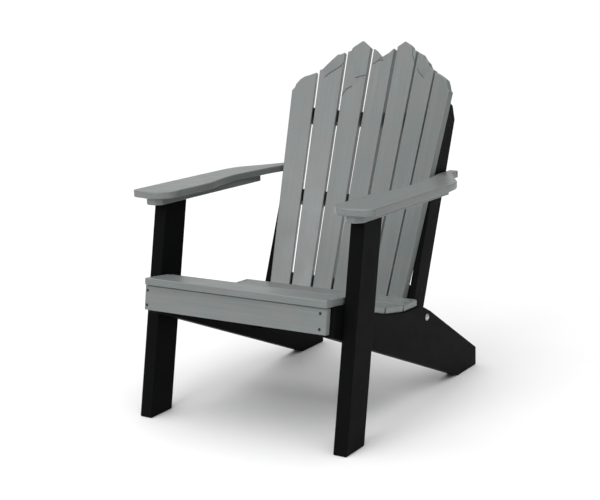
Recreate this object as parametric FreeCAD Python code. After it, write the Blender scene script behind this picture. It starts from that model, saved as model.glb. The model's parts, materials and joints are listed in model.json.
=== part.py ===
import FreeCAD, Part
import math
import os
from FreeCAD import Vector, Placement, Rotation

# An adirondack chair of dense plastic lumber: thick boards make the frame, thinner boards make
# the seat, the arms and a fanned, gently curved back whose top edge is a row of mountain peaks.
# Millimetres.  X runs across the chair (the sitter's left is +X), the chair faces -Y, Z is up.
# Until the last step Y is measured from the front legs' front edge on the floor.

# ---- lumber --------------------------------------------------------------------------------------
FRAME_T = 38.1              # thickness of the frame boards
LEG_W = 88.9                # width of a front leg
POST_W = 66.0               # width of a back post
POST_T = 19.0               # its thickness
BOARD_T = 19.0              # thickness of seat, back, arm and apron boards
EDGE_R = 3.0                # rounding along the boards' edges
TRIM_R = 2.0                # rounding where a board has been cut to a shape
GAP = 6.0                   # space between two seat slats

# ---- frame: each layer lies against the one before -----------------------------------------------
STRINGER_OUT = 285.4        # outer face of a stringer, from the middle of the chair
STRINGER_IN = STRINGER_OUT - FRAME_T
LEG_OUT = STRINGER_OUT + FRAME_T
POST_OUT = STRINGER_IN
POST_IN = POST_OUT - POST_T

# ---- front legs ----------------------------------------------------------------------------------
LEG_LEAN = 11.5             # degrees from upright, towards the back

# ---- stringers: from the apron, under the seat, down to the rear feet ----------------------------
FOOT_FRONT = 705.0          # where a stringer's lower edge meets the floor
FOOT_REAR = 824.0
FOOT_H = 54.0               # height of the upright cut at the back of the foot
STRINGER_SLOPE = 0.427      # rise of the lower edge, towards the front
SHOULDER = [(534.5, 235.5), (497.7, 254.4)]

# ---- seat ----------------------------------------------------------------------------------------
SEAT_HALF = 280.5
SEAT_FRONT = (0.7, 371.1)   # lower front edge of the first slat
SEAT_WIDTHS = [95.0, 95.0, 95.0, 95.0, 75.0]
SEAT_FALLS = [6.9, 25.5, 17.0, 10.3, 2.2]      # degrees that each slat falls towards the back

# ---- apron ---------------------------------------------------------------------------------------
APRON_ENDS = (-285.0, 276.0)         # the apron sits slightly off the middle
APRON_LOW = (-1.7, 304.0)   # lower front edge
APRON_H = 66.0
APRON_LEAN = 10.06

# ---- back posts and rails ------------------------------------------------------------------------
POST_FOOT = 396.7           # where the posts' front plane meets the floor
POST_LEAN = 22.5
POST_LOW = 140.0            # height of the posts' hidden lower ends
POST_TOP = [(744.6, 785.2), (760.3, 775.1), (772.1, 733.8)]
RAIL_H = 38.1
RAIL_HEIGHTS = {"upper": 730.0, "middle": 501.0, "lower": 270.0}
RAIL_FRONT = 47.0           # depth of the rails' front, at the middle, behind the posts' front plane
RAIL_REAR = 76.2            # depth of their rear faces
RAIL_BLANK = 40.0           # how far a rail's blank stands out before the slats' rear faces cut it

# ---- back slats: seven boards fanned round a cone, so that each one is flat and tapered ----------
SLAT_COUNT = 7
MIDDLE_SLAT = 4
BACK_FOOT = 425.3           # where the middle slat's front plane meets the floor
BACK_LEAN = 22.4
SLAT_TURN = 6.5             # degrees between neighbouring slats, seen along the fan's axis
FAN_REACH = 2894.0          # from the floor down to the fan's tip, along the middle slat
PITCH_RATE = 0.02037        # growth of the slats' pitch with the distance from the tip
SLAT_GAP = 6.5
SLAT_LOW = 250.0            # height of the slats' lower ends
# Size of the block that stands for the space in front of a slat: across, along and out of it.
FRONT_BLOCK = (1600.0, 1500.0, 600.0)
FRONT_BLOCK_START = 2694.0  # its lower end, from the fan's tip

# Top edge of each back slat, as (across, height) on its front face.
SKYLINE = {
    1: [(-258, 812), (-251, 822), (-250, 830), (-240, 844), (-228, 852), (-214, 856), (-195, 863)],
    2: [(-189, 869), (-181, 872), (-169, 886), (-155, 901), (-143, 913), (-133, 914), (-121, 920)],
    3: [(-113, 921), (-103, 924), (-101, 931), (-97, 935), (-73, 951), (-68, 951), (-39, 933)],
    4: [(-32, 931), (-19, 921), (-1, 906), (20, 918), (41, 933)],
    5: [(46, 936), (70, 951), (75, 949), (83, 945), (90, 941), (95, 937), (100, 930), (115, 925)],
    6: [(121, 922), (136, 916), (146, 906), (155, 899), (162, 895), (169, 885), (174, 880), (190, 874)],
    7: [(195, 870), (217, 862), (226, 858), (238, 852), (245, 842), (250, 832), (253, 826), (260, 822)],
}
# Carved ridge lines below the peaks, measured the same way.
RIDGES = [
    (2, [(-170, 848), (-161, 857), (-148, 866), (-129, 878), (-123, 887)]),
    (3, [(-109, 792), (-104, 804), (-98, 814), (-81, 823)]),
    (3, [(-75, 847), (-61, 851), (-43, 854)]),
    (4, [(-1, 906), (-9, 897), (-26, 886)]),
    (4, [(-9, 897), (5, 897)]),
    (5, [(98, 934), (104, 912), (114, 893)]),
    (6, [(128, 877), (135, 868), (146, 859), (159, 851)]),
]
RIDGE_W = 3.2
RIDGE_DEPTH = 2.2
RIDGE_OVERRUN = 0.6         # how far a groove's pieces run past its corners
RIDGE_LIFT = 0.01           # how far the cutter stands out of the face

# ---- arms ----------------------------------------------------------------------------------------
ARM_TOP = 597.4             # height of an arm's top at ARM_TOP_Y
ARM_TOP_Y = 600.0
ARM_FALL = 0.917            # degrees that the arms fall towards the back
ARM_INNER = 248.0
ARM_OUTER = 370.0
ARM_INNER_TURN = [(ARM_INNER, 128.0), (250.5, 98.0)]
ARM_OUTER_TURN = [(365.0, 80.0), (ARM_OUTER, 98.0)]
ARM_NOSE = [(262.0, 82.0), (290.0, 67.0), (325.0, 68.0), (352.0, 73.0)]
ARM_LOBE = [(ARM_OUTER, 482.0), (367.0, 520.0), (359.0, 553.0), (345.0, 578.0), (323.0, 612.0),
            (303.0, 646.0), (286.0, 674.0), (277.0, 703.0)]
ARM_SCOOP = [(POST_OUT, 672.0), (254.5, 628.0), (267.0, 530.0), (273.0, 450.0), (272.0, 400.0),
             (266.0, 355.0), (257.0, 308.0), (ARM_INNER, 255.0)]
ARM_END = 737.0
ARM_END_R = 12.0
SUPPORT_X = (280.0, 334.0)
SUPPORT_Y = (79.0, 556.0)
SUPPORT_CORNER = 15.0

# ---- screws and bolts: places are (y, z) unless a line says otherwise ----------------------------
SCREW_D = 4.4
SCREW_HEAD = 8.4
SCREW_HEAD_H = 3.0
SCREW_SINK = 1.2            # how far a head lies below the board's face
SCREW_RIM_H = 0.6
SCREW_TIP = 6.0
SCREW_WAY_IN = 8.0          # how far a screw's hole is cleared above its head
DRIVE = 2.8                 # square recess in a head
DRIVE_DEPTH = 1.8
APRON_SCREW_XS = (-276.5, 257.5)
APRON_SCREW_RISES = [13.0, 52.0]            # along the apron's front face
SEAT_SCREW_X = 271.5
SEAT_SCREW_INSET = 22.0
SLAT_SCREW_BITE = 12.0                      # how far the back slats' screws reach into them
COUNTERBORE = 10.0
COUNTERBORE_REACH = 60.0
OUTER_SLAT_SCREW_X = {"upper": 214.0, "middle": 208.0, "lower": 194.0}
RAIL_SCREW_RISE = 12.5
RAIL_SCREW_DEPTH = 40.0
LEG_SCREWS = [(82.0, 302.0), (118.0, 298.0), (112.0, 265.0)]
POST_SCREWS = [(495.0, 170.0), (545.0, 200.0)]
ARM_SCREW_X = 304.5
ARM_SCREW_YS = [235.0, 330.0, 425.0, 520.0]
SUPPORT_SCREW_YS = [138.0, 182.0]
ARM_END_SCREW = (277.0, 718.0, 590.0)       # (x, y, z) of the head on the arm's outer edge
ARM_END_SCREW_TURN = 30.0                   # degrees forwards from straight across
BOLT_AT = (510.6, 223.4)
BOLT_D = 8.0
BOLT_HEAD_D = 19.0
BOLT_HEAD_H = 4.6
BOLT_NECK_H = 4.0
BOLT_RIM_H = 0.8
BOLT_DOME = (0.62, 0.78)                    # a point of the dome, as shares of its radius and height
BOLT_PAST = 4.0                             # thread showing past the nut
WASHER_D = 19.0
WASHER_T = 1.6
NUT_ACROSS = 13.0
NUT_H = 6.5
NUT_BEVEL = (0.6, 1.2)                      # across and along
SCREW_LENGTHS = {
    "apron_screws": 57.0, "seat_slat_screws": 51.0, "back_slat_screws": 36.0, "rail_screws": 57.0,
    "leg_screws": 63.0, "post_screws": 45.0, "support_screws": 63.0, "arm_screws": 32.0,
    "arm_end_screws": 48.0,
}


def unit(angle):
    """The (y, z) direction of a line that leans back from upright by an angle in degrees."""
    return math.sin(math.radians(angle)), math.cos(math.radians(angle))


def side_board(outline, x_low, x_high):
    """A board whose (y, z) outline is cut from a sheet that stands across X."""
    points = [Vector(x_low, y, z) for y, z in outline]
    face = Part.Face(Part.makePolygon(points + points[:1]))
    return face.extrude(Vector(x_high - x_low, 0, 0))


def rounded(solid, radius):
    return solid.makeFillet(radius, solid.Edges)


def meeting(a, b, c, d):
    """The (y, z) point where the line through a and b meets the line through c and d."""
    ab = (b[0] - a[0], b[1] - a[1])
    cd = (d[0] - c[0], d[1] - c[1])
    share = ((c[0] - a[0]) * cd[1] - (c[1] - a[1]) * cd[0]) / (ab[0] * cd[1] - ab[1] * cd[0])
    return a[0] + share * ab[0], a[1] + share * ab[1]


def mirrored(solid):
    return solid.mirror(Vector(0, 0, 0), Vector(1, 0, 0))


# ---- frame boards --------------------------------------------------------------------------------
def arm_plane(y, depth):
    """The (y, z) point of the plane that lies a depth below the arms' top."""
    fall = math.radians(ARM_FALL)
    return y, ARM_TOP - depth / math.cos(fall) - (y - ARM_TOP_Y) * math.tan(fall)


def seat_path():
    """Lower front corner of each slat, then the end of the last one."""
    y, z = SEAT_FRONT
    path = [(y, z)]
    for width, fall in zip(SEAT_WIDTHS, SEAT_FALLS):
        reach = width + GAP
        y += reach * math.cos(math.radians(fall))
        z -= reach * math.sin(math.radians(fall))
        path.append((y, z))
    return path


def front_leg():
    lean_y, lean_z = unit(LEG_LEAN)
    foot = LEG_W / lean_z
    under_arm = (arm_plane(0, 2 * BOARD_T), arm_plane(foot, 2 * BOARD_T))
    top_front = meeting((0, 0), (lean_y, lean_z), *under_arm)
    top_rear = meeting((foot, 0), (foot + lean_y, lean_z), *under_arm)
    outline = [(0, 0), (foot, 0), top_rear, top_front]
    return rounded(side_board(outline, STRINGER_OUT, LEG_OUT), EDGE_R)


def apron_corners():
    up_y, up_z = unit(APRON_LEAN)
    y, z = APRON_LOW
    low = (y, z)
    high = (y + APRON_H * up_y, z + APRON_H * up_z)
    back_high = (high[0] + BOARD_T * up_z, high[1] - BOARD_T * up_y)
    back_low = (y + BOARD_T * up_z, z - BOARD_T * up_y)
    return [low, high, back_high, back_low]


def front_apron():
    return rounded(side_board(apron_corners(), *APRON_ENDS), EDGE_R)


def stringer():
    apron_back = apron_corners()[2:]
    seat = seat_path()
    heel = (FOOT_FRONT, 0)
    top_front = meeting(*apron_back, *seat[:2])
    low_front = meeting(*apron_back, heel, (0, FOOT_FRONT * STRINGER_SLOPE))
    outline = [heel, (FOOT_REAR, 0), (FOOT_REAR, FOOT_H)] + SHOULDER
    outline += reversed(seat[1:])
    outline += [top_front, low_front]
    return rounded(side_board(outline, STRINGER_IN, STRINGER_OUT), EDGE_R)


def post_frame():
    """Directions along the posts' front plane and out of it, towards the sitter."""
    y, z = unit(POST_LEAN)
    return Vector(0, y, z), Vector(0, -z, y)


def rail_point(height, x, rise, out_by):
    """A point at a rail: above its middle, and out of the posts' front plane."""
    along, out = post_frame()
    reach = (height + RAIL_FRONT * out.z) / along.z
    return Vector(x, POST_FOOT, 0) + along * (reach + rise) + out * out_by


def back_post():
    slope = math.tan(math.radians(POST_LEAN))
    depth = POST_W / math.cos(math.radians(POST_LEAN))
    top = POST_TOP[0][1]
    outline = [
        (POST_FOOT + slope * POST_LOW, POST_LOW),
        (POST_FOOT + slope * top, top),
    ] + POST_TOP + [(POST_FOOT + slope * POST_LOW + depth, POST_LOW)]
    blank = side_board(outline, POST_IN, POST_OUT)
    return rounded(behind_slats(blank), TRIM_R)


def back_rail(height):
    half = RAIL_H / 2
    corners = [(-half, -RAIL_REAR), (-half, RAIL_BLANK), (half, RAIL_BLANK), (half, -RAIL_REAR)]
    points = [rail_point(height, 0, rise, out_by) for rise, out_by in corners]
    blank = side_board([(point.y, point.z) for point in points], -POST_IN, POST_IN)
    return rounded(behind_slats(blank), TRIM_R)


# ---- back slats ----------------------------------------------------------------------------------
def fan_tip():
    y, z = unit(BACK_LEAN)
    return Vector(0, BACK_FOOT - FAN_REACH * y, -FAN_REACH * z)


def slat_turn(number):
    """Rotation about the fan's axis that takes the middle slat to another one."""
    half_rate = math.tan(math.radians(SLAT_TURN / 2))
    cone = math.degrees(math.asin(PITCH_RATE / 2 / half_rate))
    y, z = unit(BACK_LEAN - cone)
    return Rotation(Vector(0, y, z), (MIDDLE_SLAT - number) * SLAT_TURN)


def slat_frame(number):
    """Directions across a slat, along it, and out of its front face."""
    y, z = unit(BACK_LEAN)
    turn = slat_turn(number)
    return [turn.multVec(v) for v in (Vector(1, 0, 0), Vector(0, y, z), Vector(0, -z, y))]


def on_slat(number, x, z):
    """Distance across a slat and from the fan's tip, of the point of its front face at x and z."""
    across, along, out = slat_frame(number)
    tip = fan_tip()
    size = across.x * along.z - across.z * along.x
    side = ((x - tip.x) * along.z - (z - tip.z) * along.x) / size
    reach = (across.x * (z - tip.z) - across.z * (x - tip.x)) / size
    return side, reach


def slat_point(number, side, reach, out_by=0.0):
    across, along, out = slat_frame(number)
    return fan_tip() + across * side + along * reach + out * out_by


def slat_edge(reach):
    """Half the width of a slat at a distance from the fan's tip."""
    return (PITCH_RATE * reach - SLAT_GAP) / 2


def ridge_cutter(number, line):
    """V-shaped groove along a line on a slat's front face."""
    out = slat_frame(number)[2]
    points = [slat_point(number, *on_slat(number, x, z)) for x, z in line]
    cutters = []
    for start, end in zip(points, points[1:]):
        run = (end - start).normalize()
        wide = run.cross(out) * (RIDGE_W / 2)
        start = start - run * RIDGE_OVERRUN
        end = end + run * RIDGE_OVERRUN
        top = start + out * RIDGE_LIFT
        profile = [top + wide, top - wide, start - out * RIDGE_DEPTH]
        face = Part.Face(Part.makePolygon(profile + profile[:1]))
        cutters.append(face.extrude(end - start))
    return cutters


def back_slat(number):
    low = (SLAT_LOW - fan_tip().z) / slat_frame(number)[1].z
    outline = [(slat_edge(low), low), (-slat_edge(low), low)]
    for x, z in SKYLINE[number]:
        side, reach = on_slat(number, x, z)
        limit = slat_edge(reach)
        outline.append((max(-limit, min(limit, side)), reach))
    points = [slat_point(number, side, reach) for side, reach in outline]
    face = Part.Face(Part.makePolygon(points + points[:1]))
    slat = rounded(face.extrude(slat_frame(number)[2] * -BOARD_T), TRIM_R)
    for ridge_slat, line in RIDGES:
        if ridge_slat == number:
            for cutter in ridge_cutter(number, line):
                slat = slat.cut(cutter)
    return slat


def slat_half_space(number):
    """Everything in front of a slat's rear face, near the chair."""
    across, along, out = [way * size for way, size in zip(slat_frame(number), FRONT_BLOCK)]
    corner = slat_point(number, 0, FRONT_BLOCK_START, -BOARD_T) - across * 0.5
    loop = Part.makePolygon([corner, corner + across, corner + across + along, corner + along, corner])
    return Part.Face(loop).extrude(out)


def behind_slats(blank):
    """Cut a post or a rail back to the slats' rear faces."""
    front = blank
    for number in range(1, SLAT_COUNT + 1):
        front = front.common(slat_half_space(number))
    return blank.cut(front)


# ---- seat ----------------------------------------------------------------------------------------
def seat_slat(index):
    y, z = seat_path()[index]
    width = SEAT_WIDTHS[index]
    fall = SEAT_FALLS[index]
    run = (math.cos(math.radians(fall)), -math.sin(math.radians(fall)))
    up = (-run[1], run[0])
    outline = [(y, z), (y + width * run[0], z + width * run[1])]
    outline += [(a + BOARD_T * up[0], b + BOARD_T * up[1]) for a, b in reversed(outline)]
    return rounded(side_board(outline, -SEAT_HALF, SEAT_HALF), EDGE_R)


# ---- arms ----------------------------------------------------------------------------------------
def curve(points, start=None, end=None):
    spline = Part.BSplineCurve()
    pins = [Vector(x, y, 0) for x, y in points]
    if start is None:
        spline.interpolate(pins)
    else:
        spline.interpolate(Points=pins, InitialTangent=Vector(*start, 0), FinalTangent=Vector(*end, 0))
    return spline.toShape()


def line(start, end):
    return Part.makeLine(Vector(*start, 0), Vector(*end, 0))


def arc(start, middle, end):
    return Part.Arc(Vector(*start, 0), Vector(*middle, 0), Vector(*end, 0)).toShape()


def laid_under_arm_top(flat, depth):
    """Tilt a flat board that was drawn at height 0 into the arms' plane."""
    placed = flat.copy()
    placed.translate(Vector(0, 0, ARM_TOP - depth))
    placed.rotate(Vector(0, ARM_TOP_Y, ARM_TOP), Vector(1, 0, 0), -ARM_FALL)
    return placed


def arm():
    bend = ARM_END_R * (1 - math.sqrt(0.5))
    lobe_x, lobe_y = ARM_LOBE[-1]
    edges = [
        arc(*ARM_INNER_TURN, ARM_NOSE[0]),
        curve(ARM_NOSE),
        arc(ARM_NOSE[-1], *ARM_OUTER_TURN),
        line(ARM_OUTER_TURN[-1], ARM_LOBE[0]),
        curve(ARM_LOBE, (0, 1), (0, 1)),
        line(ARM_LOBE[-1], (lobe_x, ARM_END - ARM_END_R)),
        arc((lobe_x, ARM_END - ARM_END_R), (lobe_x - bend, ARM_END - bend), (lobe_x - ARM_END_R, ARM_END)),
        line((lobe_x - ARM_END_R, ARM_END), (POST_OUT, ARM_END)),
        line((POST_OUT, ARM_END), ARM_SCOOP[0]),
        curve(ARM_SCOOP, (0, -1), (0, -1)),
        line(ARM_SCOOP[-1], ARM_INNER_TURN[0]),
    ]
    face = Part.Face(Part.Wire(edges))
    board = rounded(face.extrude(Vector(0, 0, -BOARD_T)), EDGE_R)
    return laid_under_arm_top(board, 0)


def arm_support():
    x_low, x_high = SUPPORT_X
    y_low, y_high = SUPPORT_Y
    corners = [
        (x_low + SUPPORT_CORNER, y_low), (x_high - SUPPORT_CORNER, y_low),
        (x_high, y_low + SUPPORT_CORNER), (x_high, y_high), (x_low, y_high),
        (x_low, y_low + SUPPORT_CORNER),
    ]
    points = [Vector(x, y, 0) for x, y in corners]
    board = Part.Face(Part.makePolygon(points + points[:1])).extrude(Vector(0, 0, -BOARD_T))
    return laid_under_arm_top(rounded(board, TRIM_R), BOARD_T)


# ---- making screws and bolts ---------------------------------------------------------------------
def pointed(shape, start, direction):
    """Turn a shape that was drawn along +Z from the origin, so that it starts and runs as given."""
    placed = shape.copy()
    placed.Placement = Placement(start, Rotation(Vector(0, 0, 1), direction))
    return placed


def revolved(profile):
    """A round solid from its (radius, length) outline, about Z."""
    points = [Vector(radius, 0, length) for radius, length in profile]
    face = Part.Face(Part.makePolygon(points + points[:1]))
    return face.revolve(Vector(0, 0, 0), Vector(0, 0, 1), 360)


def screw(length):
    """A flat-headed screw, and the hole that it fills with the clearance above its head."""
    top = SCREW_SINK
    body = revolved([
        (0, top), (SCREW_HEAD / 2, top), (SCREW_HEAD / 2, top + SCREW_RIM_H),
        (SCREW_D / 2, top + SCREW_HEAD_H), (SCREW_D / 2, length - SCREW_TIP), (0, length),
    ])
    way_in = Part.makeCylinder(SCREW_HEAD / 2, SCREW_WAY_IN + top, Vector(0, 0, -SCREW_WAY_IN))
    hole = body.fuse(way_in)
    recess = Part.makeBox(DRIVE, DRIVE, DRIVE_DEPTH, Vector(-DRIVE / 2, -DRIVE / 2, top))
    return body.cut(recess), hole


def both_sides(places):
    """Add the mirror image of each (start, direction)."""
    flipped = [(Vector(-p.x, p.y, p.z), Vector(-d.x, d.y, d.z)) for p, d in places]
    return places + flipped


def apron_places():
    up_y, up_z = unit(APRON_LEAN)
    y, z = APRON_LOW
    inwards = Vector(0, up_z, -up_y)
    return [(Vector(x, y + rise * up_y, z + rise * up_z), inwards)
            for x in APRON_SCREW_XS for rise in APRON_SCREW_RISES]


def seat_places():
    places = []
    for (y, z), width, fall in zip(seat_path(), SEAT_WIDTHS, SEAT_FALLS):
        run = Vector(0, math.cos(math.radians(fall)), -math.sin(math.radians(fall)))
        up = Vector(0, -run.z, run.y)
        for inset in (SEAT_SCREW_INSET, width - SEAT_SCREW_INSET):
            places.append((Vector(SEAT_SCREW_X, y, z) + run * inset + up * BOARD_T, up * -1))
    return places


def back_slat_places():
    """Heads behind the rails; each start is the one that gives the wanted bite."""
    out = post_frame()[1]
    shank = SCREW_LENGTHS["back_slat_screws"]
    places = []
    for place, height in RAIL_HEIGHTS.items():
        for number in range(1, SLAT_COUNT + 1):
            slat_out = slat_frame(number)[2]
            middle = rail_point(height, 0, 0, -RAIL_REAR)
            x = slat_point(number, 0, on_slat(number, 0, middle.z)[1]).x
            if number in (1, SLAT_COUNT):
                x = math.copysign(OUTER_SLAT_SCREW_X[place], x)
            start = rail_point(height, x, 0, -RAIL_REAR)
            rear = slat_point(number, 0, FAN_REACH, -BOARD_T)
            thickness = (rear - start).dot(slat_out) / out.dot(slat_out)
            places.append((start + out * (thickness + SLAT_SCREW_BITE - shank), out))
    return places


def rail_places():
    places = []
    for height in RAIL_HEIGHTS.values():
        for rise in (-RAIL_SCREW_RISE, RAIL_SCREW_RISE):
            places.append((rail_point(height, POST_OUT, rise, -RAIL_SCREW_DEPTH), Vector(-1, 0, 0)))
    return places


def side_places(spots, x, way):
    return [(Vector(x, y, z), Vector(way, 0, 0)) for y, z in spots]


def arm_places(ys, depth, way):
    """Screws square to the arms' plane, with heads at a depth below the arms' top."""
    lean = math.radians(ARM_FALL)
    down = Vector(0, -math.sin(lean), -math.cos(lean))
    top = [Vector(ARM_SCREW_X, *arm_plane(y, 0)) for y in ys]
    return [(point + down * depth, down * way) for point in top]


def arm_end_place():
    turn = math.radians(ARM_END_SCREW_TURN)
    return [(Vector(*ARM_END_SCREW), Vector(-math.cos(turn), -math.sin(turn), 0))]


def add_screws(name, places, bore=0.0):
    """Put one screw at each place, into holes in the boards, with a wider way in if bore is given."""
    body, hole = screw(SCREW_LENGTHS[name])
    if bore:
        start = Vector(0, 0, -COUNTERBORE_REACH)
        hole = hole.fuse(Part.makeCylinder(bore / 2, COUNTERBORE_REACH + SCREW_SINK, start))
    holes = [pointed(hole, *place) for place in places]
    drill(holes)
    fasteners[name] = Part.makeCompound([pointed(body, *place) for place in places])


def drill(holes):
    for name, board in boards.items():
        near = [hole for hole in holes if hole.BoundBox.intersect(board.BoundBox)]
        if near:
            boards[name] = board.cut(near)


def bolt():
    """A carriage bolt: a domed head, a square neck sunk into the board, and a round shank."""
    rim = BOLT_HEAD_D / 2
    crown = Vector(0, 0, -BOLT_HEAD_H)
    dome = Vector(rim * BOLT_DOME[0], 0, -BOLT_HEAD_H * BOLT_DOME[1])
    brow = Vector(rim, 0, -BOLT_RIM_H)
    edge = Vector(rim, 0, 0)
    origin = Vector(0, 0, 0)
    edges = [Part.Arc(crown, dome, brow).toShape(), Part.makeLine(brow, edge),
             Part.makeLine(edge, origin), Part.makeLine(origin, crown)]
    head = Part.Face(Part.Wire(edges)).revolve(Vector(0, 0, 0), Vector(0, 0, 1), 360)
    neck = Part.makeBox(BOLT_D, BOLT_D, BOLT_NECK_H, Vector(-BOLT_D / 2, -BOLT_D / 2, 0))
    length = FRAME_T + POST_T + WASHER_T + NUT_H + BOLT_PAST
    shank = Part.makeCylinder(BOLT_D / 2, length)
    return head.fuse([neck, shank]).removeSplitter(), neck.fuse(shank)


def washer():
    ring = Part.makeCylinder(WASHER_D / 2, WASHER_T)
    return ring.cut(Part.makeCylinder(BOLT_D / 2, WASHER_T))


def nut():
    corner = NUT_ACROSS / math.sqrt(3)
    points = [Vector(corner * math.cos(math.radians(60 * i)), corner * math.sin(math.radians(60 * i)), 0)
              for i in range(7)]
    prism = Part.Face(Part.makePolygon(points)).extrude(Vector(0, 0, NUT_H))
    bevel_in, bevel_down = NUT_BEVEL
    dome = revolved([
        (0, 0), (corner, 0), (corner, NUT_H - bevel_down), (NUT_ACROSS / 2 - bevel_in, NUT_H), (0, NUT_H),
    ])
    return prism.common(dome).cut(Part.makeCylinder(BOLT_D / 2, NUT_H))


def add_bolts():
    spots = both_sides(side_places([BOLT_AT], STRINGER_OUT, -1))
    inner = both_sides(side_places([BOLT_AT], POST_IN, -1))
    past = both_sides(side_places([BOLT_AT], POST_IN - WASHER_T, -1))
    body, hole = bolt()
    drill([pointed(hole, *spot) for spot in spots])
    fasteners["post_bolts"] = Part.makeCompound([pointed(body, *spot) for spot in spots])
    fasteners["post_washers"] = Part.makeCompound([pointed(washer(), *spot) for spot in inner])
    fasteners["post_nuts"] = Part.makeCompound([pointed(nut(), *spot) for spot in past])


# ---- the chair -----------------------------------------------------------------------------------
boards = {}
fasteners = {}
for side in ("left", "right"):
    for name, make in (("front_leg", front_leg), ("stringer", stringer), ("back_post", back_post),
                       ("arm", arm), ("arm_support", arm_support)):
        board = make()
        boards[name + "_" + side] = mirrored(board) if side == "right" else board
boards["front_apron"] = front_apron()
for place, height in RAIL_HEIGHTS.items():
    boards["back_rail_" + place] = back_rail(height)
for index in range(len(SEAT_WIDTHS)):
    boards["seat_slat_%d" % (index + 1)] = seat_slat(index)
for number in range(1, SLAT_COUNT + 1):
    boards["back_slat_%d" % number] = back_slat(number)

add_screws("apron_screws", apron_places())
add_screws("seat_slat_screws", both_sides(seat_places()))
add_screws("back_slat_screws", back_slat_places(), COUNTERBORE)
add_screws("rail_screws", both_sides(rail_places()))
add_screws("leg_screws", both_sides(side_places(LEG_SCREWS, STRINGER_IN, 1)))
add_screws("post_screws", both_sides(side_places(POST_SCREWS, POST_IN, 1)))
add_screws("support_screws", both_sides(arm_places(SUPPORT_SCREW_YS, BOARD_T, 1)))
add_screws("arm_screws", both_sides(arm_places(ARM_SCREW_YS, 2 * BOARD_T, -1)))
add_screws("arm_end_screws", both_sides(arm_end_place()))
add_bolts()

whole = FreeCAD.BoundBox()
for board in boards.values():
    whole.add(board.BoundBox)
to_origin = Vector(-whole.Center.x, -whole.Center.y, -whole.ZMin)
os.makedirs("parts", exist_ok=True)
for name, shape in list(boards.items()) + list(fasteners.items()):
    shape.translate(to_origin)
    shape.exportStep("parts/" + name + ".step")
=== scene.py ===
import json
import math
import random

import bpy
from mathutils import Matrix, Vector


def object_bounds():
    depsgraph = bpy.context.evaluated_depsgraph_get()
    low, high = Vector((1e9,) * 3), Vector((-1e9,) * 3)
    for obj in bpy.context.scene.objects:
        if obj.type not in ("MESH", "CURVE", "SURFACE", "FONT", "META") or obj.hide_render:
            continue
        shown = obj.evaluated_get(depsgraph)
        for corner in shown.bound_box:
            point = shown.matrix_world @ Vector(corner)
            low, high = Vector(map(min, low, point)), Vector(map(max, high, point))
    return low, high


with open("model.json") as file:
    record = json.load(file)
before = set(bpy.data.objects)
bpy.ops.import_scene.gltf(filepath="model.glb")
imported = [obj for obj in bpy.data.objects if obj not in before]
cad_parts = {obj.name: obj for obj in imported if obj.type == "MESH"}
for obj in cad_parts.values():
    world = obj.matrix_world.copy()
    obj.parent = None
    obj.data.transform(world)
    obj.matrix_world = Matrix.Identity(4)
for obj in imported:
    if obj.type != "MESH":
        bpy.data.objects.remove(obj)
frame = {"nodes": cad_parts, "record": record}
cad_low, cad_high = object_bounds()
nodes = frame["nodes"]

# ---- plastic lumber, by material slot: linear colours, depth of the grain, roughness -----------
LUMBERS = {
    "grey_lumber": {
        "prefix": "grey_", "plain": (0.146, 0.159, 0.155), "cool": (0.130, 0.163, 0.170),
        "warm": (0.163, 0.156, 0.150), "grain": 0.085, "rough": 0.36, "specular": 0.5,
    },
    "black_lumber": {
        "prefix": "black_", "plain": (0.0038, 0.0040, 0.0040), "cool": (0.0034, 0.0039, 0.0045),
        "warm": (0.0043, 0.0040, 0.0038), "grain": 0.10, "rough": 0.50, "specular": 0.025,
    },
}
BROAD_STRETCH = (0.045, 1.0, 1.0)   # the long way comes first
DRAWN_STRETCH = (0.020, 1.0, 1.0)
BOARD_SHIFT = 5.0                   # how far a board's pattern may be shifted, either way
TINT_SHARE = 0.65                   # of the cool and warm tints in the plain colour
BANDS_SHARE = 0.5                   # of the broad bands in the tinted colour
STREAK_DEPTH = 0.8                  # depths of streaks and patches, as shares of the grain
PATCH_DEPTH = 0.35
# Lighter edges: partly wear, partly a painted highlight where the rounded edges catch the light.
WEAR_AND_HIGHLIGHT_EDGE = 0.10                    # how much lighter the edges are
ROUGH_SWING = 0.06
STREAK_RELIEF = 0.55
FINE_RELIEF = 0.45
LUMBER_BUMP = {"Strength": 0.35, "Distance": 0.0005}

# ---- metals, by material slot ------------------------------------------------------------------
METALS = {
    "steel": {"name": "steel_screws", "colour": (0.56, 0.55, 0.53), "rough": 0.34},
    "dark_screws": {"name": "dark_steel_screws", "colour": (0.085, 0.087, 0.090), "rough": 0.42},
}
METAL_SHIFT = 3.0
METAL_TONES = (0.72, 1.08)          # the colour's gain in the darkest and the lightest patches
METAL_ROUGH_SWING = (-0.08, 0.10)
METAL_BUMP = {"Strength": 0.25, "Distance": 0.0001}

# ---- noises as (scale, detail, roughness), and which of their values make the full range -------
BROAD, BROAD_RANGE = (70.0, 3.0, 0.55), (0.30, 0.70)
STREAK, STREAK_RANGE = (260.0, 4.0, 0.6), (0.28, 0.72)
FINE = (900.0, 3.0, 0.65)
CLOUD, CLOUD_RANGE = (16.0, 4.0, 0.55), (0.34, 0.66)
PATCH, PATCH_RANGE = (5.0, 2.0, 0.5), (0.3, 0.7)
EDGE_RANGE = (0.515, 0.60)
ROUGH_RANGE = (0.7, 1.3)
METAL_PATCH, METAL_TONE_RANGE, METAL_ROUGH_RANGE = (260.0, 4.0, 0.6), (0.35, 0.65), (0.3, 0.7)
METAL_MARKS = (2400.0, 2.0, 0.6)
FLOOR_CLOUD, FLOOR_RANGE = (3.0, 3.0, 0.5), (0.3, 0.7)

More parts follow.
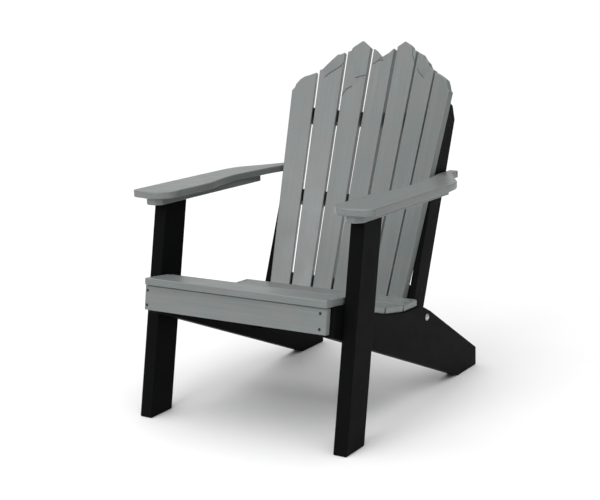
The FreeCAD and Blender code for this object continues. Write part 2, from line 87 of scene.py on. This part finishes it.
# ---- floor, light and camera -------------------------------------------------------------------
FLOOR_HALF = 150.0
FLOOR_DROP = 0.0005                 # the floor lies this far below the feet
FLOOR_TONES = (0.80, 0.82)
FLOOR_ROUGH = 0.9
FLOOR_SPECULAR = 0.1
WORLD_COLOUR = (1.0, 1.0, 1.0, 1.0)
WORLD_STRENGTH = 0.30
TOP_AZIMUTH = -15.0
TOP_ELEVATION = 80.0
TOP_STRENGTH = 3.1
TOP_ANGLE = 110.0
# Softboxes: azimuth right of the chair's front, elevation, distance, width, height, power.
SOFTBOXES = {
    "key": (-3.0, 27.0, 2.8, 1.2, 0.9, 21.0),
    "backdrop": (-145.0, 15.0, 3.5, 4.0, 1.2, 8.0),
}
CAMERA_AT = (1.8630, -2.9568, 1.1807)
CAMERA_AZIMUTH = 33.03
CAMERA_ELEVATION = 12.48
CAMERA_ROLL = -1.96
CAMERA_LENS = 77.6
SENSOR_WIDTH = 36.0
CLIP_END = 1000.0

AXIS_STEPS = 60                     # rounds that bring a guess onto a board's axis
LONG_GUESS = (0.3, 0.4, 0.5)
WIDE_GUESS = (0.5, 0.3, 0.4)
SEED = 11


# ---- node helpers ------------------------------------------------------------------------------
class Graph:
    """A material's nodes, made and linked in one call each."""

    def __init__(self, name):
        self.material = bpy.data.materials.new(name)
        self.material.use_nodes = True
        self.tree = self.material.node_tree
        self.tree.nodes.clear()

    def put(self, socket, value):
        """Link a socket to another one, or set its value."""
        if isinstance(value, bpy.types.NodeSocket):
            self.tree.links.new(value, socket)
        else:
            socket.default_value = value

    def add(self, kind, inputs=None, **settings):
        node = self.tree.nodes.new(kind)
        for key, value in settings.items():
            setattr(node, key, value)
        for key, value in (inputs or {}).items():
            self.put(node.inputs[key], value)
        return node

    def place(self):
        return self.add("ShaderNodeTexCoord").outputs["Object"]

    def mapped(self, vector, **inputs):
        return self.add("ShaderNodeMapping", {"Vector": vector, **inputs}).outputs["Vector"]

    def noise(self, vector, kind):
        scale, detail, roughness = kind
        inputs = {"Vector": vector, "Scale": scale, "Detail": detail, "Roughness": roughness}
        return self.add("ShaderNodeTexNoise", inputs).outputs["Fac"]

    def spread(self, value, used, to_low=0.0, to_high=1.0):
        inputs = {"Value": value, "From Min": used[0], "From Max": used[1]}
        inputs.update({"To Min": to_low, "To Max": to_high})
        return self.add("ShaderNodeMapRange", inputs).outputs["Result"]

    def mix(self, factor, first, second):
        node = self.add("ShaderNodeMix", data_type="RGBA")
        factor_socket, first_socket, second_socket = (node.inputs[i] for i in (0, 6, 7))
        self.put(factor_socket, factor)
        self.put(first_socket, first)
        self.put(second_socket, second)
        return node.outputs[2]

    def math(self, operation, first, second):
        return self.add("ShaderNodeMath", {0: first, 1: second}, operation=operation).outputs[0]

    def bumps(self, height, settings):
        return self.add("ShaderNodeBump", {"Height": height, **settings}).outputs["Normal"]

    def finished(self, **inputs):
        """A surface with these inputs, written with _ for a space, and the material."""
        inputs = {key.replace("_", " "): value for key, value in inputs.items()}
        shader = self.add("ShaderNodeBsdfPrincipled", inputs)
        self.add("ShaderNodeOutputMaterial", {"Surface": shader.outputs[0]})
        return self.material


def rgba(colour, gain=1.0):
    return tuple(part * gain for part in colour) + (1.0,)


def random_shift(draw, reach):
    return [draw.uniform(-reach, reach) for _ in range(3)]


def board_axes(obj):
    """A board's long, wide and thick directions, from how its surface is spread."""
    mesh = obj.data
    total = 0.0
    middle = Vector()
    for face in mesh.polygons:
        total += face.area
        middle += face.center * face.area
    middle /= total
    spread = [[0.0] * 3 for _ in range(3)]
    for face in mesh.polygons:
        away = face.center - middle
        for row in range(3):
            for column in range(3):
                spread[row][column] += away[row] * away[column] * face.area
    spread = Matrix(spread)
    long_way = Vector(LONG_GUESS)
    for _ in range(AXIS_STEPS):
        long_way = (spread @ long_way).normalized()
    outer = Matrix([[long_way[r] * long_way[c] for c in range(3)] for r in range(3)])
    rest = spread - outer * (long_way.dot(spread @ long_way))
    wide_way = Vector(WIDE_GUESS)
    for _ in range(AXIS_STEPS):
        wide_way = rest @ wide_way
        wide_way = (wide_way - long_way * wide_way.dot(long_way)).normalized()
    return long_way, wide_way, long_way.cross(wide_way)


def lumber(name, obj, kind, draw):
    """Plastic lumber: streaks and fine grain along the board, faint mottling, and lighter edges:
    wear and painted highlight.
    """
    plain, grain, rough = kind["plain"], kind["grain"], kind["rough"]
    g = Graph(kind["prefix"] + name)
    turn = Matrix(board_axes(obj)).to_euler()
    along = g.mapped(g.place(), Rotation=turn, Location=random_shift(draw, BOARD_SHIFT))
    stretched = g.mapped(along, Scale=BROAD_STRETCH)
    drawn = g.mapped(along, Scale=DRAWN_STRETCH)

    broad = g.noise(stretched, BROAD)
    streak = g.noise(drawn, STREAK)
    fine = g.noise(drawn, FINE)
    cloud = g.noise(along, CLOUD)
    patch = g.noise(along, PATCH)

    tint = g.mix(g.spread(cloud, CLOUD_RANGE), rgba(kind["cool"]), rgba(kind["warm"]))
    base = g.mix(TINT_SHARE, rgba(plain), tint)
    bands = g.mix(g.spread(broad, BROAD_RANGE), rgba(plain, 1.0 - grain), rgba(plain, 1.0 + grain))
    base = g.mix(BANDS_SHARE, base, bands)
    streaks = grain * STREAK_DEPTH
    patches = grain * PATCH_DEPTH
    shade = g.math("MULTIPLY", g.spread(streak, STREAK_RANGE, 1.0 - streaks, 1.0 + streaks),
                   g.spread(patch, PATCH_RANGE, 1.0 - patches, 1.0 + patches))
    # The convex edges are lightened: partly wear, partly a painted highlight.
    pointed = g.add("ShaderNodeNewGeometry").outputs["Pointiness"]
    edge = g.math("MULTIPLY", g.spread(pointed, EDGE_RANGE), WEAR_AND_HIGHLIGHT_EDGE)
    shade = g.math("ADD", shade, edge)
    colour = g.add("ShaderNodeVectorMath", {0: base, 1: shade}, operation="MULTIPLY").outputs[0]

    roughness = g.spread(g.math("ADD", streak, cloud), ROUGH_RANGE,
                         rough - ROUGH_SWING, rough + ROUGH_SWING)
    height = g.math("ADD", g.math("MULTIPLY", streak, STREAK_RELIEF),
                    g.math("MULTIPLY", fine, FINE_RELIEF))
    return g.finished(Base_Color=colour, Roughness=roughness, Normal=g.bumps(height, LUMBER_BUMP),
                      Specular_IOR_Level=kind["specular"])


def metal(kind, draw):
    """Machined steel with fine turning marks and darker patches."""
    colour, rough = kind["colour"], kind["rough"]
    g = Graph(kind["name"])
    place = g.mapped(g.place(), Location=random_shift(draw, METAL_SHIFT))
    patches = g.noise(place, METAL_PATCH)
    marks = g.noise(place, METAL_MARKS)
    dark, light = (rgba(colour, tone) for tone in METAL_TONES)
    tone = g.mix(g.spread(patches, METAL_TONE_RANGE), dark, light)
    smoother, rougher = (rough + swing for swing in METAL_ROUGH_SWING)
    roughness = g.spread(patches, METAL_ROUGH_RANGE, smoother, rougher)
    return g.finished(Base_Color=tone, Roughness=roughness, Normal=g.bumps(marks, METAL_BUMP),
                      Metallic=1.0)


def floor_material():
    g = Graph("floor_paint")
    dark, light = (rgba((tone, tone, tone)) for tone in FLOOR_TONES)
    tone = g.mix(g.spread(g.noise(g.place(), FLOOR_CLOUD), FLOOR_RANGE), dark, light)
    return g.finished(Base_Color=tone, Roughness=FLOOR_ROUGH, Specular_IOR_Level=FLOOR_SPECULAR)


def towards(azimuth, elevation):
    """From the chair to a place seen that many degrees right of its front and above the floor."""
    a, e = math.radians(azimuth), math.radians(elevation)
    return Vector((math.sin(a) * math.cos(e), -math.cos(a) * math.cos(e), math.sin(e)))


# ---- materials onto the CAD nodes --------------------------------------------------------------
draw = random.Random(SEED)
slots = {part["node"]: part["material_slot"] for part in frame["record"]["subparts"]}
metals = {slot: metal(kind, draw) for slot, kind in METALS.items()}
for name in sorted(nodes):
    node = nodes[name]
    slot = slots[name]
    if slot in metals:
        material = metals[slot]
    else:
        material = lumber(name, node, LUMBERS[slot], draw)
    node.data.materials.clear()
    node.data.materials.append(material)

# ---- floor and light ---------------------------------------------------------------------------
scene = bpy.context.scene
scene.view_settings.view_transform = "Standard"

corners = [(-FLOOR_HALF, -FLOOR_HALF, 0), (FLOOR_HALF, -FLOOR_HALF, 0),
           (FLOOR_HALF, FLOOR_HALF, 0), (-FLOOR_HALF, FLOOR_HALF, 0)]
floor_mesh = bpy.data.meshes.new("floor")
floor_mesh.from_pydata(corners, [], [(0, 1, 2, 3)])
floor_mesh.materials.append(floor_material())
floor = bpy.data.objects.new("floor", floor_mesh)
scene.collection.objects.link(floor)
floor.location.z = cad_low.z - FLOOR_DROP

world = bpy.data.worlds.new("studio")
world.use_nodes = True
world.node_tree.nodes["Background"].inputs["Color"].default_value = WORLD_COLOUR
world.node_tree.nodes["Background"].inputs["Strength"].default_value = WORLD_STRENGTH
scene.world = world

top_data = bpy.data.lights.new("top", "SUN")
top_data.energy = TOP_STRENGTH
top_data.angle = math.radians(TOP_ANGLE)
top = bpy.data.objects.new("top", top_data)
top.rotation_euler = towards(TOP_AZIMUTH, TOP_ELEVATION).to_track_quat("Z", "Y").to_euler()
scene.collection.objects.link(top)

middle = (cad_low + cad_high) / 2
for name, (azimuth, elevation, distance, width, height, power) in SOFTBOXES.items():
    data = bpy.data.lights.new(name, "AREA")
    data.shape = "RECTANGLE"
    data.size = width
    data.size_y = height
    data.energy = power
    box = bpy.data.objects.new(name, data)
    way = towards(azimuth, elevation)
    box.location = middle + way * distance
    box.rotation_euler = way.to_track_quat("Z", "Y").to_euler()
    box.visible_camera = False
    scene.collection.objects.link(box)

# ---- camera ------------------------------------------------------------------------------------
camera_data = bpy.data.cameras.new("camera")
camera_data.lens = CAMERA_LENS
camera_data.sensor_width = SENSOR_WIDTH
camera_data.clip_end = CLIP_END
camera = bpy.data.objects.new("camera", camera_data)
scene.collection.objects.link(camera)
back = towards(CAMERA_AZIMUTH, CAMERA_ELEVATION)
azimuth = math.radians(CAMERA_AZIMUTH)
right = Vector((math.cos(azimuth), math.sin(azimuth), 0.0))
level = Matrix((right, back.cross(right), back)).transposed()
roll = Matrix.Rotation(math.radians(CAMERA_ROLL), 3, "Z")
camera.matrix_world = Matrix.Translation(CAMERA_AT) @ (level @ roll).to_4x4()
bpy.context.scene.camera = camera
